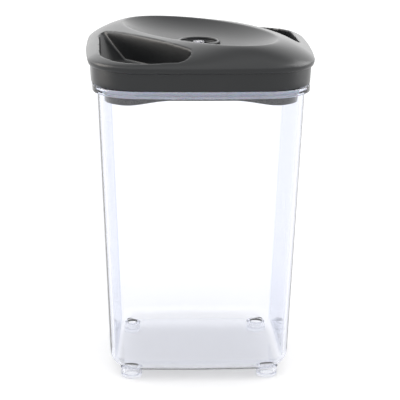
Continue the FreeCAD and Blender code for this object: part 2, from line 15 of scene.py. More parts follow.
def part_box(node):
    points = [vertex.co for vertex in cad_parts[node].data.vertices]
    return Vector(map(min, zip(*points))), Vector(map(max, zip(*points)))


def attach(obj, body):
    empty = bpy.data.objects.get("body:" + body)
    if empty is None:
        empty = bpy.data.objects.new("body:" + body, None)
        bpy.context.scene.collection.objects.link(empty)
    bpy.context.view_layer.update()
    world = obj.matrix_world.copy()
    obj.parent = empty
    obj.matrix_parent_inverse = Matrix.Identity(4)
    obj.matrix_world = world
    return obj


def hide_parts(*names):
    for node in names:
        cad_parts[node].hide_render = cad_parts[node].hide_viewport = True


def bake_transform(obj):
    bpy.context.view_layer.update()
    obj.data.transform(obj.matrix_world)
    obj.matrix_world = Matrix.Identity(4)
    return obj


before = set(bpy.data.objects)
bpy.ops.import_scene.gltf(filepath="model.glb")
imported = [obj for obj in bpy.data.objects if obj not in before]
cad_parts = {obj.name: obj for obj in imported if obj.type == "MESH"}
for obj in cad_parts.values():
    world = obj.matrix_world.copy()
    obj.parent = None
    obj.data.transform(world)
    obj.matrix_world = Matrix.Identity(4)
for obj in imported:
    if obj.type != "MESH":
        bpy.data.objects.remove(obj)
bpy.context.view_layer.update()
MM = 0.001

# %% [markdown]
# ## Where things are
# Every height is read from the engineering model, so the finished pieces sit exactly where it puts
# them. A piece's box gives its lowest and highest corner.

# %% Heights and widths read from the model
canister_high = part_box("canister_body")[1]
cover_low, cover_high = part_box("lid_cover")
base_low, base_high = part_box("lid_base")
ring_low, ring_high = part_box("valve_collar")
RIM_Z = canister_high.z
COLLAR_HALF = canister_high.x
SHOULDER_HALF = cover_high.x
CREST_Z = cover_high.z
BAND_FOOT_Z = cover_low.z
PLUG_FOOT_Z = base_low.z
print("rim at", round(RIM_Z / MM, 2), "mm, crest at", round(CREST_Z / MM, 2), "mm")

# %% [markdown]
# ## Camera
# A long lens from far away, a little to the left of the front and looking slightly down, keeps the
# upright walls nearly parallel. The camera is placed by turning a line of sight about the point it aims
# at, which is easier to adjust than loose coordinates.

# %% Camera
AIM = Vector((1.5 * MM, 0.0, 89.44 * MM))
SIGHT_LENGTH = 1.0457
SIGHT_UP = math.radians(14.844)      # above the horizon
SIGHT_TURN = math.radians(-2.884)    # to the left of straight ahead
CAMERA_ROLL = math.radians(0.497)
LENS_MM = 169.3


def make_camera():
    data = bpy.data.cameras.new("camera")
    data.lens = LENS_MM
    data.sensor_width = 36.0
    camera = bpy.data.objects.new("camera", data)
    bpy.context.scene.collection.objects.link(camera)
    back = Vector((
        math.sin(SIGHT_TURN) * math.cos(SIGHT_UP),
        -math.cos(SIGHT_TURN) * math.cos(SIGHT_UP),
        math.sin(SIGHT_UP),
    ))
    right = Vector((math.cos(SIGHT_TURN), math.sin(SIGHT_TURN), 0.0))
    up = back.cross(right)
    rolled_right = right * math.cos(CAMERA_ROLL) + up * math.sin(CAMERA_ROLL)
    rolled_up = up * math.cos(CAMERA_ROLL) - right * math.sin(CAMERA_ROLL)
    turn = Matrix((rolled_right, rolled_up, back)).transposed().to_4x4()
    camera.matrix_world = Matrix.Translation(AIM + back * SIGHT_LENGTH) @ turn
    bpy.context.scene.camera = camera
    return camera


camera = make_camera()
print("camera at, mm:", [round(v / MM) for v in camera.matrix_world.translation])

# %% [markdown]
# ## The outline that everything shares
# Seen from above the canister, its plug and its lid have one outline: four sides that bulge a little,
# like a shallow bow, joined by round corners. A formula gives the distance from the middle to that
# outline in any direction, so one ring of vertices can be pulled onto it at any size.

# %% A ring pulled onto the bowed square
BOW = 500 * MM                 # the sides bulge along this large radius
RING_STEPS = 256
CORNER_CROWDING = 0.45         # more of the ring's vertices go to the corners


def outline_radius(angle, half, corner):
    """Distance from the middle to the outline, for half its width and its corner radius."""
    folded = abs((angle + math.pi / 4) % (math.pi / 2) - math.pi / 4)
    shift = BOW - half
    centre = (-shift + math.sqrt(2 * (BOW - corner) ** 2 - shift**2)) / 2
    turn = math.atan2(centre, centre + shift)
    meet = math.atan2(BOW * math.sin(turn), BOW * math.cos(turn) - shift)
    if folded < meet:
        across = shift * math.sin(folded)
        return math.sqrt(BOW**2 - across**2) - shift * math.cos(folded)
    along = centre * (math.cos(folded) + math.sin(folded))
    return along + math.sqrt(along**2 - 2 * centre**2 + corner**2)


def pull_ring(verts, radius_at, z_at):
    """Moves each vertex of a ring to the radius and height that its direction asks for."""
    for vert in verts:
        angle = math.atan2(vert.co.y, vert.co.x)
        radius = radius_at(angle)
        x, y = radius * math.cos(angle), radius * math.sin(angle)
        vert.co = (x, y, z_at(x, y) if callable(z_at) else z_at)


def first_ring(bm, steps=RING_STEPS):
    """A round ring whose vertices crowd towards the four corners."""
    ring = bmesh.ops.create_circle(bm, segments=steps, radius=1.0)["verts"]
    for vert in ring:
        angle = math.atan2(vert.co.y, vert.co.x)
        angle += CORNER_CROWDING / 4 * math.sin(4 * angle)
        vert.co = (math.cos(angle), math.sin(angle), 0.0)
    return ring, list({edge for vert in ring for edge in vert.link_edges})


def next_ring(bm, edges):
    """Extrudes a ring of edges in place and returns the new ring."""
    made = bmesh.ops.extrude_edge_only(bm, edges=edges)["geom"]
    verts = [item for item in made if isinstance(item, bmesh.types.BMVert)]
    fresh = set(verts)
    edges = [
        item for item in made
        if isinstance(item, bmesh.types.BMEdge) and fresh.issuperset(item.verts)
    ]
    return verts, edges


def sweep_rings(bm, stations, steps=RING_STEPS, closed=False):
    """Pulls one ring through a list of (radius function, height) stations. The ends are capped, or
    joined to each other when closed is true."""
    ring, edges = first_ring(bm, steps)
    first_edges = edges
    pull_ring(ring, *stations[0])
    for station in stations[1:]:
        ring, edges = next_ring(bm, edges)
        pull_ring(ring, *station)
    if closed:
        bmesh.ops.bridge_loops(bm, edges=first_edges + edges)
    else:
        bmesh.ops.contextual_create(bm, geom=first_edges)
        bmesh.ops.contextual_create(bm, geom=edges)
    bmesh.ops.recalc_face_normals(bm, faces=bm.faces)


def outline_station(half, corner, z):
    return (lambda angle: outline_radius(angle, half, corner)), z


SAMPLE_CORNER = 23 * MM        # only for the measurement printed here
print("outline at the collar, mm:", round(outline_radius(0.0, COLLAR_HALF, SAMPLE_CORNER) / MM, 2))

# %% [markdown]
# ## Turned pieces and cuts
# Feet, rings, knobs and seals are round, so each is a profile of radius and height spun about an
# upright axis. Holes and joins between whole solids use exact booleans, whose result is taken as a
# finished mesh.

# %% Helpers for turned pieces, booleans and objects
def new_object(name, bm):
    """Turns a bmesh into a smooth-shaded object at the origin."""
    mesh = bpy.data.meshes.new(name)
    bm.to_mesh(mesh)
    bm.free()
    mesh.shade_smooth()
    piece = bpy.data.objects.new(name, mesh)
    bpy.context.scene.collection.objects.link(piece)
    return piece


def bend(radius, height, reach, start, end, steps=6):
    """Profile points along an arc; angles in degrees, 0 pointing away from the axis."""
    points = []
    for step in range(steps + 1):
        angle = math.radians(start + (end - start) * step / steps)
        points.append((radius + reach * math.cos(angle), height + reach * math.sin(angle)))
    return points


def turned(bm, profile, centre=(0.0, 0.0), steps=64, closed=False):
    """Spins a profile of (radius, height) pairs, in millimetres, about an upright axis."""
    x, y = centre
    verts = [bm.verts.new((x + radius * MM, y, height * MM)) for radius, height in profile]
    pairs = list(zip(verts, verts[1:]))
    if closed:
        pairs.append((verts[-1], verts[0]))
    edges = [bm.edges.new(pair) for pair in pairs]
    bmesh.ops.spin(
        bm, geom=verts + edges, cent=(x, y, 0), axis=(0, 0, 1), angle=2 * math.pi,
        steps=steps, use_merge=True, use_duplicate=False,
    )
    bmesh.ops.remove_doubles(bm, verts=bm.verts, dist=1e-7)
    bmesh.ops.recalc_face_normals(bm, faces=bm.faces)


def turned_object(name, *profiles, **options):
    bm = bmesh.new()
    for profile in profiles:
        turned(bm, profile, **options)
    return new_object(name, bm)


def settle(piece):
    """Makes the result of a piece's modifiers its real mesh."""
    depsgraph = bpy.context.evaluated_depsgraph_get()
    mesh = bpy.data.meshes.new_from_object(piece.evaluated_get(depsgraph))
    piece.modifiers.clear()
    piece.data = mesh


def combine(piece, tool, operation):
    """Cuts a piece with a tool, or joins or keeps what they share, and removes the tool."""
    change = piece.modifiers.new(operation.lower(), "BOOLEAN")
    change.operation = operation
    change.solver = "EXACT"
    change.object = tool
    settle(piece)
    bpy.data.objects.remove(tool)


def crisp_shading(piece, angle=35):
    """Smooth shading that stops at edges sharper than the angle."""
    piece.data.set_sharp_from_angle(angle=math.radians(angle))


def steady_flats(piece):
    """Large faces set the shading normals, so a flat floor stays flat up to a rounded hole."""
    change = piece.modifiers.new("steady_flats", "WEIGHTED_NORMAL")
    change.keep_sharp = True
    settle(piece)


def finish_piece(piece, node, body, material):
    """Gives a finished piece its material and its place in the assembly."""
    piece.data.materials.clear()
    piece.data.materials.append(material)
    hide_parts(node)
    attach(piece, body)
    bm = bmesh.new()
    bm.from_mesh(piece.data)
    loose = sum(1 for edge in bm.edges if not edge.is_manifold)
    print(f"{piece.name}: {len(bm.faces)} faces, {loose} open edges")
    bm.free()


# %% [markdown]
# ## Clear plastic
# The canister is moulded from a clear plastic with a trace of blue violet, added to hide the natural
# yellow. It shows only where light travels far through the wall: at the edges, the collar and the feet.
# Part of that is absorption in the volume. The rest is put on the surface, which lets less light through
# where it is seen edge-on. That surface tint is partly the longer path through the plastic and partly
# painted shade for the dim room seen through the edges, not a measured property. That is a stand-in for
# a slightly cloudy skin, not a measured property.
# A very slight waviness of the surface keeps reflections from looking drawn with a ruler.

# %% Clear plastic material
def new_material(name):
    material = bpy.data.materials.new(name)
    material.use_nodes = True
    nodes, links = material.node_tree.nodes, material.node_tree.links
    return material, nodes, links, nodes["Principled BSDF"]


def place_noise(nodes, links, scale, detail=2.0, stretch=(1.0, 1.0, 1.0)):
    """A noise that sits still on the piece, in object coordinates."""
    where = nodes.new("ShaderNodeTexCoord")
    mapping = nodes.new("ShaderNodeMapping")
    mapping.inputs["Scale"].default_value = stretch
    noise = nodes.new("ShaderNodeTexNoise")
    noise.inputs["Scale"].default_value = scale
    noise.inputs["Detail"].default_value = detail
    links.new(where.outputs["Object"], mapping.inputs["Vector"])
    links.new(mapping.outputs["Vector"], noise.inputs["Vector"])
    return noise


def add_bump(nodes, links, shader, height, strength, distance):
    bump = nodes.new("ShaderNodeBump")
    bump.inputs["Strength"].default_value = strength
    bump.inputs["Distance"].default_value = distance
    links.new(height, bump.inputs["Height"])
    links.new(bump.outputs["Normal"], shader.inputs["Normal"])
    return bump


def add_roughness(nodes, links, shader, noise, low, high):
    """Lets the noise move the roughness between two values."""
    span = nodes.new("ShaderNodeMapRange")
    span.inputs["To Min"].default_value = low
    span.inputs["To Max"].default_value = high
    links.new(noise.outputs["Fac"], span.inputs["Value"])
    links.new(span.outputs["Result"], shader.inputs["Roughness"])


# The edge-on colour below is partly the real tint of a longer path through the plastic and partly painted
# shade, standing in for the dim room seen through the edges.
EDGE_TINT_AND_SHADE = (0.26, 0.33, 0.58, 1.0)      # what a wall seen edge-on lets through
EDGE_TINT_AND_SHADE_START = 0.66                        # how edge-on it is when the tint begins


def clear_material(name, tint, density, roughness, ior=1.53):
    material, nodes, links, shader = new_material(name)
    # Painted shade, partly real tint: the base colour turns from white to a dark blue violet as the wall is
    # seen edge-on, by view angle alone.
    slant = nodes.new("ShaderNodeLayerWeight")
    slant.inputs["Blend"].default_value = 0.5
    edge = nodes.new("ShaderNodeValToRGB")
    edge.color_ramp.elements[0].position = EDGE_TINT_AND_SHADE_START
    edge.color_ramp.elements[0].color = (1.0, 1.0, 1.0, 1.0)
    edge.color_ramp.elements[1].position = 1.0
    edge.color_ramp.elements[1].color = EDGE_TINT_AND_SHADE
    links.new(slant.outputs["Facing"], edge.inputs["Fac"])
    links.new(edge.outputs["Color"], shader.inputs["Base Color"])
    shader.inputs["Transmission Weight"].default_value = 1.0
    shader.inputs["IOR"].default_value = ior
    absorb = nodes.new("ShaderNodeVolumeAbsorption")
    absorb.inputs["Color"].default_value = (*tint, 1.0)
    absorb.inputs["Density"].default_value = density
    links.new(absorb.outputs["Volume"], nodes["Material Output"].inputs["Volume"])
    waves = place_noise(nodes, links, 24.0, 1.0, (1.0, 1.0, 0.35))
    add_bump(nodes, links, shader, waves.outputs["Fac"], 0.25, 0.0004)
    add_roughness(nodes, links, shader, waves, roughness * 0.5, roughness * 1.5)
    return material


clear_plastic = clear_material("clear_plastic", (0.44, 0.50, 0.72), 48.0, 0.02)
print("clear plastic:", clear_plastic.name)

# %% [markdown]
# ## Dark satin plastic
# The lid is a dark grey plastic with a satin skin: its colour is nearly black, and what is seen is the
# soft reflection of the studio. The mould leaves a very fine grain, and wide areas differ slightly in
# sheen, so both the fine bump and the roughness come from noise.

# %% Dark plastic material
def satin_material(name, colour, roughness, grain, ior=1.42, variation=0.06):
    material, nodes, links, shader = new_material(name)
    shader.inputs["IOR"].default_value = ior
    cloud = place_noise(nodes, links, 45.0, 3.0)
    ramp = nodes.new("ShaderNodeValToRGB")
    ramp.color_ramp.elements[0].position = 0.3
    ramp.color_ramp.elements[1].position = 0.7
    ramp.color_ramp.elements[0].color = (*[part * (1 - variation) for part in colour], 1.0)
    ramp.color_ramp.elements[1].color = (*[part * (1 + variation) for part in colour], 1.0)
    links.new(cloud.outputs["Fac"], ramp.inputs["Fac"])
    links.new(ramp.outputs["Color"], shader.inputs["Base Color"])
    add_roughness(nodes, links, shader, cloud, roughness - 0.03, roughness + 0.03)
    fine = place_noise(nodes, links, 2600.0, 2.0)
    add_bump(nodes, links, shader, fine.outputs["Fac"], grain, 0.00004)
    return material


dark_plastic = satin_material("dark_plastic", (0.0105, 0.0115, 0.0125), 0.30, 0.35, 1.40)
silicone = satin_material("silicone", (0.84, 0.85, 0.92), 0.42, 0.2, 1.41, 0.03)
silicone.node_tree.nodes["Principled BSDF"].inputs["Subsurface Weight"].default_value = 0.3
silicone.node_tree.nodes["Principled BSDF"].inputs["Subsurface Scale"].default_value = 0.002
valve_rubber = satin_material("valve_rubber", (0.56, 0.50, 0.41), 0.5, 0.3, 1.41, 0.04)
stem_plastic = clear_material("stem_plastic", (0.55, 0.5, 0.85), 60.0, 0.08, 1.5)
print("satin plastics and rubbers made")

# %% [markdown]
# ## Spring wire
# The spring and the small clip are bright steel wire, drawn through a die, so the metal is streaked
# along its length. They sit inside the valve and show only when the lid is looked into.

# %% Steel material
def steel_material(name):
    material, nodes, links, shader = new_material(name)
    shader.inputs["Base Color"].default_value = (0.62, 0.62, 0.64, 1.0)
    shader.inputs["Metallic"].default_value = 1.0
    streaks = place_noise(nodes, links, 900.0, 2.0, (1.0, 1.0, 6.0))
    add_roughness(nodes, links, shader, streaks, 0.18, 0.36)
    add_bump(nodes, links, shader, streaks.outputs["Fac"], 0.2, 0.00002)
    return material


spring_steel = steel_material("spring_steel")
print("steel:", spring_steel.name)

# %% [markdown]
# ## The canister body
# The body is one moulding: a wall with draft, so that it leaves the mould, a thick collar round the
# mouth, rounded inside and outside at the floor, and four hollow feet. One ring of vertices is pulled
# up the outside, over the rim and down the inside, which gives a true wall with two surfaces. That
# matters for clear plastic, because every surface bends the light.

# %% Body sizes and wall
BODY_FOOT = 5.0 * MM           # underside of the box, above the ground
BASE_HALF, RIM_HALF = 49.2 * MM, 56.3 * MM
BASE_CORNER, RIM_CORNER = 17 * MM, 22 * MM
WALL, FLOOR = 2.5 * MM, 2.0 * MM
BASE_ROUND, FLOOR_ROUND = 8 * MM, 4.5 * MM
COLLAR_RISE = 4.0 * MM
COLLAR_OUT = COLLAR_HALF - RIM_HALF
EDGE_ROUND = 0.5 * MM
COLLAR_ROUND = 1.0 * MM        # under the collar
RIM_LAND = 1.0 * MM            # below the rim before the inner wall is divided evenly


def wall_station(z, inset, shown_at=None):
    """The wall's outline at height z, moved in by inset."""
    share = (z - BODY_FOOT) / (RIM_Z - BODY_FOOT)
    half = BASE_HALF + (RIM_HALF - BASE_HALF) * share - inset
    corner = BASE_CORNER + (RIM_CORNER - BASE_CORNER) * share - inset
    return outline_station(half, corner, z if shown_at is None else shown_at)


def quarter(steps):
    """Sine and cosine over a quarter turn."""
    turns = [math.pi / 2 * step / steps for step in range(steps + 1)]
    return [(math.sin(turn), math.cos(turn)) for turn in turns]


def body_stations():
    stations = [wall_station(BODY_FOOT, BASE_ROUND + 0.4 * MM)]
    for sine, cosine in quarter(10):
        stations.append(wall_station(BODY_FOOT + BASE_ROUND * (1 - cosine), BASE_ROUND * (1 - sine)))
    collar_foot = RIM_Z - COLLAR_RISE
    levels = 9
    low = BODY_FOOT + BASE_ROUND
    for step in range(1, levels + 1):
        stations.append(wall_station(low + (collar_foot - low) * step / levels, 0.0))
    for sine, cosine in quarter(5):
        out = COLLAR_OUT - COLLAR_ROUND * (1 - sine)
        stations.append(wall_station(RIM_Z, -out, collar_foot + COLLAR_ROUND * (1 - cosine)))
    for sine, cosine in quarter(4):
        out = COLLAR_OUT - EDGE_ROUND * (1 - cosine)
        stations.append(wall_station(RIM_Z, -out, RIM_Z - EDGE_ROUND * (1 - sine)))
    for sine, cosine in quarter(4):
        inset = WALL - EDGE_ROUND * (1 - sine)
        stations.append(wall_station(RIM_Z, inset, RIM_Z - EDGE_ROUND * (1 - cosine)))
    floor_top = BODY_FOOT + FLOOR
    low = floor_top + FLOOR_ROUND
    for step in range(levels):
        z = RIM_Z - RIM_LAND - (RIM_Z - RIM_LAND - low) * step / (levels - 1)
        stations.append(wall_station(z, WALL))
    for sine, cosine in quarter(8)[1:]:
        stations.append(
            wall_station(floor_top + FLOOR_ROUND * (1 - sine), WALL + FLOOR_ROUND * (1 - cosine)))
    stations.append(wall_station(floor_top, WALL + FLOOR_ROUND + 0.4 * MM))
    return stations


def make_body():
    bm = bmesh.new()
    sweep_rings(bm, body_stations())
    return new_object("canister_body_clear", bm)


body = make_body()
print("body wall:", len(body.data.polygons), "faces")

# %% [markdown]
# ## The feet
# The four feet are moulded with the floor and are hollow from the inside, which is why a ring shows on
# the floor above each. A turned foot is joined on and a turned plug of air is cut out of it.

# %% Four hollow feet
FOOT_OFFSET = 37.0             # mm from the middle, both ways
FOOT_RADIUS, FOOT_BORE, FOOT_SKIN = 5.65, 3.7, 1.8
FOOT_TOP = (BODY_FOOT + FLOOR) / MM


def foot_places():
    return [(x * FOOT_OFFSET * MM, y * FOOT_OFFSET * MM) for x in (-1, 1) for y in (-1, 1)]


def four_turned(name, profile):
    bm = bmesh.new()
    for place in foot_places():
        turned(bm, profile, centre=place, steps=48)
    return new_object(name, bm)


foot_profile = (
    [(0.0, 0.0)]
    + bend(FOOT_RADIUS - 0.7, 0.7, 0.7, -90, 0)
    + [(FOOT_RADIUS, FOOT_TOP - 2.4), (FOOT_RADIUS + 0.35, FOOT_TOP - 1.7), (0.0, FOOT_TOP - 1.0)]
)
bore_profile = (
    [(0.0, FOOT_SKIN)]
    + bend(FOOT_BORE - 0.6, FOOT_SKIN + 0.6, 0.6, -90, 0)
    + bend(FOOT_BORE + 0.5, FOOT_TOP - 0.5, 0.5, 180, 90)
    + [(FOOT_BORE + 0.5, FOOT_TOP + 1.0), (0.0, FOOT_TOP + 1.0)]
)
combine(body, four_turned("feet", foot_profile), "UNION")
combine(body, four_turned("foot_bores", bore_profile), "DIFFERENCE")
crisp_shading(body, 40)
steady_flats(body)
finish_piece(body, "canister_body", "canister", clear_plastic)

# %% [markdown]
# ## The dome of the lid
# The lid is widest a little above a straight band, then rises to a crest that is an ellipse lying
# across one diagonal, and inside that crest it dips into a shallow bowl. Every level of it is a ring, so
# the same sweep as for the canister makes it: the rings change from the bowed square to the ellipse on
# the way up, by two rounded curves, and the ellipse shrinks on the way down into the bowl.

# %% Lid sizes
CREASE_Z = BAND_FOOT_Z + 9.4 * MM        # where the dome overhangs the straight band
WIDEST_Z = CREASE_Z + 3.4 * MM
BAND_HALF = COLLAR_HALF
BAND_DRAFT = 0.5 * MM
CREASE_LIP = 0.5 * MM
SHOULDER_CORNER = 30 * MM
SHELL = 2.0 * MM
SIDE_POWER, TOP_POWER = 1.41, 1.53       # how full the dome is at the shoulder and at the crest
BOWL_WIDE, BOWL_LONG = 29.9 * MM, 55.6 * MM
BOWL_TURN = math.radians(126.7)
RING_RISE = 2.7 * MM                     # the valve ring above the bowl's floor
BOWL_FLOOR_Z = ring_high.z - RING_RISE
BOWL_DEPTH = CREST_Z - BOWL_FLOOR_Z


def crest_radius(angle):
    """Distance from the middle to the elliptical crest."""
    return 1 / math.hypot(
        math.cos(angle - BOWL_TURN) / BOWL_LONG, math.sin(angle - BOWL_TURN) / BOWL_WIDE)


def lid_outline(angle, half):
    return outline_radius(angle, half, SHOULDER_CORNER - SHOULDER_HALF + half)


def between_outline_and_crest(half, spread):
    """A ring that is the lid's outline when spread is 1 and the crest when it is 0."""
    def radius(angle):
        inner = crest_radius(angle)
        return inner + (lid_outline(angle, half) - inner) * spread
    return radius


def dome_stations(inset):
    """Rings from the crease up over the crest and down to the bowl's floor."""
    shoulder, crest = SHOULDER_HALF - inset, CREST_Z - inset
    narrow = BAND_HALF + BAND_DRAFT + CREASE_LIP - inset
    foot = CREASE_Z - (1.0 * MM if inset else 0.0)
    stations = [(between_outline_and_crest(narrow, 1.0), foot)]
    for sine, cosine in quarter(8):
        half = narrow + (shoulder - narrow) * sine
        z = WIDEST_Z - (WIDEST_Z - CREASE_Z) * cosine
        stations.append((between_outline_and_crest(half, 1.0), z))
    for sine, cosine in quarter(26)[1:]:
        spread = max(cosine, 0.0) ** SIDE_POWER
        z = WIDEST_Z + (crest - WIDEST_Z) * sine**TOP_POWER
        stations.append((between_outline_and_crest(shoulder, spread), z))
    for step in range(1, 17):
        share = 1 - 0.9 * (step / 16) ** 1.3
        z = crest - BOWL_DEPTH * (1 - share**3)
        stations.append((lambda angle, share=share: share * crest_radius(angle), z))
    return stations[(0 if inset else 1):]


def make_dome(name, inset):
    bm = bmesh.new()
    sweep_rings(bm, dome_stations(inset))
    return new_object(name, bm)


dome = make_dome("lid_cover_satin", 0.0)
print("dome:", len(dome.data.polygons), "faces, bowl", round(BOWL_DEPTH / MM, 1), "mm deep")

# %% [markdown]
# ## Finger wells
# On each side of the bowl there is a deep well for the finger tips, and the wall between a well and the
# bowl is what the hand grips. Seen from above a well is a rounded corner shape with a long grip side
# that bows a little. Its floor is flat, and one end rises as a ramp. A flat outline with rounded
# corners, extruded and trimmed by a slanting plane, is that space.

# %% The space of one finger well
WELL_SIDE, WELL_FRONT, WELL_END = 53.5 * MM, 57.3 * MM, 6.3 * MM
GRIP_START = Vector((-6.3, -47.3, 0.0)) * MM     # the grip wall at its end beside the middle
GRIP_TAIL = Vector((-53.5, 19.8, 0.0)) * MM      # and at its tail by the side of the lid
GRIP_BULGE = 3.3 * MM
BULGE_FADE = 14 * MM                             # the bulge dies out this far from the grip wall
WELL_REACH = 40 * MM                             # tall enough to pass out through the dome
WELL_FLOOR_Z = CREST_Z - 15.6 * MM
WELL_CORNER, WELL_END_ROUND, WELL_TAIL_ROUND = 25 * MM, 8.0 * MM, 3.0 * MM
RAMP_START, RAMP_RUN = 19 * MM, 2.1
ALONG = (GRIP_TAIL - GRIP_START).normalized()
INWARD = Vector((ALONG.y, -ALONG.x, 0.0))        # towards the middle of the lid


def grip_line_at(x, grow):
    """The point of the grip wall's straight line at one x, moved out by grow."""
    start = GRIP_START + INWARD * grow
    return start + ALONG * ((x - start.x) / ALONG.x)


def round_corner(bm, vert, radius):
    """Rounds one corner of a flat outline."""
    one, two = [edge.other_vert(vert).co - vert.co for edge in vert.link_edges]
    offset = radius / math.tan(one.angle(two) / 2)
    bmesh.ops.bevel(
        bm, geom=[vert], offset=offset, offset_type="OFFSET", segments=14, profile=0.5,
        affect="VERTICES", material=-1, clamp_overlap=False,
    )


def bulge_grip(bm, grow):
    """Bows the grip side of the outline into the well."""
    length = (GRIP_TAIL - GRIP_START).length
    start = GRIP_START + INWARD * grow
    for vert in bm.verts:
        offset = vert.co - start
        share = offset.dot(ALONG) / length
        nearness = max(0.0, 1 + offset.dot(INWARD) / BULGE_FADE)
        vert.co -= INWARD * GRIP_BULGE * max(0.0, 4 * share * (1 - share)) * min(1.0, nearness)


def make_well(name, grow, turned_round):
    """The space of a well, or that space with its walls on when grow is their thickness."""
    side, end = -WELL_SIDE - grow, -WELL_END + grow
    bm = bmesh.new()
    places = [
        grip_line_at(side, grow), Vector((side, -WELL_FRONT - grow, 0)),
        Vector((end, -WELL_FRONT - grow, 0)), grip_line_at(end, grow),
    ]
    corners = [bm.verts.new(place) for place in places]
    bm.faces.new(corners)
    rounds = (WELL_TAIL_ROUND, WELL_CORNER, WELL_END_ROUND, WELL_END_ROUND)
    for corner, radius in zip(corners, rounds):
        round_corner(bm, corner, radius + grow)
    longest = max(bm.edges, key=lambda edge: edge.calc_length())
    bmesh.ops.subdivide_edges(bm, edges=[longest], cuts=12)
    bulge_grip(bm, grow)
    floor_z = WELL_FLOOR_Z - grow
    bmesh.ops.translate(bm, verts=bm.verts, vec=(0, 0, floor_z))
    made = bmesh.ops.extrude_face_region(bm, geom=list(bm.faces), use_keep_orig=True)["geom"]
    raised = [item for item in made if isinstance(item, bmesh.types.BMVert)]
    bmesh.ops.translate(bm, verts=raised, vec=(0, 0, WELL_REACH))
    slope = (ALONG - Vector((0, 0, RAMP_RUN))).normalized()
    middle = Vector((0, 0, floor_z)) + ALONG * RAMP_START
    bmesh.ops.bisect_plane(
        bm, geom=bm.verts[:] + bm.edges[:] + bm.faces[:], plane_co=middle, plane_no=slope,
        clear_outer=True,
    )
    bmesh.ops.holes_fill(bm, edges=[edge for edge in bm.edges if edge.is_boundary])
    if turned_round:
        bmesh.ops.rotate(bm, verts=bm.verts, matrix=Matrix.Rotation(math.pi, 3, "Z"))
    bmesh.ops.recalc_face_normals(bm, faces=bm.faces)
    print(name, "has", sum(1 for edge in bm.edges if not edge.is_manifold), "open edges")
    return new_object(name, bm)


# %% [markdown]
# ## Hollowing the dome
# The lid is a moulding of one thickness, so a smaller dome is cut out of the first, and the wells keep
# walls of their own. An even remesh that is then relaxed a little rounds every edge, as a mould does.

# %% The dome becomes a shell with two wells
VOXEL = 0.6 * MM
PORT_RADIUS, RING_RADIUS, RING_LAND = 9.2, 11.8, 1.0


def band_station(z, inset):
    """The straight band's outline at a height, moved in by inset."""
    half = BAND_HALF + BAND_DRAFT * (z - BAND_FOOT_Z) / (CREASE_Z - BAND_FOOT_Z) - inset
    return outline_station(half, half + SHOULDER_CORNER - SHOULDER_HALF, z)


def well_block(turned_round):
    """The part of a well's walls and floor that hangs below the dome, kept within the band."""
    block = make_well("well_walls", SHELL, turned_round)
    bm = bmesh.new()
    inset, low, high = 0.2 * MM, WELL_FLOOR_Z - 2 * SHELL, CREASE_Z + 1.5 * MM
    sweep_rings(bm, [band_station(low, inset), band_station(high, inset)])
    combine(block, new_object("band_core", bm), "INTERSECT")
    return block


def hollow_dome():
    hollow = make_dome("dome_hollow", SHELL)
    for turned_round in (False, True):
        combine(hollow, make_well("well_walls", SHELL, turned_round), "DIFFERENCE")
    combine(dome, hollow, "DIFFERENCE")
    for turned_round in (False, True):
        combine(dome, well_block(turned_round), "UNION")
        combine(dome, make_well("well_space", 0.0, turned_round), "DIFFERENCE")
    floor_mm = BOWL_FLOOR_Z / MM
    port = [(0.0, floor_mm - 4), (PORT_RADIUS, floor_mm - 4), (PORT_RADIUS, floor_mm),
            (RING_RADIUS + RING_LAND, floor_mm), (RING_RADIUS + RING_LAND, floor_mm + 4),
            (0.0, floor_mm + 4)]
    combine(dome, turned_object("port", port, steps=96), "DIFFERENCE")


def soften(piece, voxel, passes):
    """Remeshes a solid evenly and relaxes it, which rounds every edge a little."""
    remesh = piece.modifiers.new("even", "REMESH")
    remesh.mode = "VOXEL"
    remesh.voxel_size = voxel
    relax = piece.modifiers.new("relax", "SMOOTH")
    relax.factor = 0.5
    relax.iterations = passes
    settle(piece)
    piece.data.shade_smooth()


hollow_dome()
soften(dome, VOXEL, 4)
print("dome with wells:", len(dome.data.polygons), "faces")


# %% [markdown]
# ## The straight band
# Under the dome a nearly upright band reaches down to the canister's collar. It is a closed ring strip,
# a little wider at the top, and it is joined to the dome under the crease.

# %% The straight band under the dome
def make_band():
    bm = bmesh.new()
    foot, top = BAND_FOOT_Z, CREASE_Z + 0.8 * MM
    stations = []
    for sine, cosine in quarter(3):
        stations.append(band_station(foot + 0.4 * MM * (1 - cosine), 0.4 * MM * (1 - sine)))
    stations += [band_station(foot + (top - foot) * share, 0.0) for share in (0.25, 0.5, 0.75, 1.0)]
    stations += [band_station(z, SHELL) for z in (top, foot + (top - foot) / 2, foot)]
    sweep_rings(bm, stations, closed=True)
    return new_object("band", bm)


band = make_band()
combine(dome, band, "UNION")
crisp_shading(dome, 40)
finish_piece(dome, "lid_cover", "lid", dark_plastic)

# %% [markdown]
# ## The lid's base and plug
# Under the dome a flat plate closes the lid, and a plug hangs from it into the canister. The plug's
# lower edge waves: it is low at the corners and is cut away in the middle of each side. One closed ring
# strip makes the skirt, with its lower edge lifted by a smooth step along each side.

# %% Plate, plug and valve boss
PLATE_THICK = 2.0 * MM
PLUG_GAP, PLUG_WALL, GASKET_DEPTH = 1.0 * MM, 2.0 * MM, 1.2 * MM
PLUG_ARCH = 3.0 * MM
ARCH_FLAT, ARCH_END = 16 * MM, 42 * MM           # the arch is level to here, and over by here
gasket_low, gasket_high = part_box("lid_gasket")
PLUG_SHARE = (PLUG_FOOT_Z - BODY_FOOT) / (RIM_Z - BODY_FOOT)
PLUG_HALF = BASE_HALF + (RIM_HALF - BASE_HALF) * PLUG_SHARE - WALL
PLUG_CORNER = BASE_CORNER + (RIM_CORNER - BASE_CORNER) * PLUG_SHARE - WALL


def plug_station(inset, z):
    return outline_station(PLUG_HALF - inset, PLUG_CORNER - inset, z)


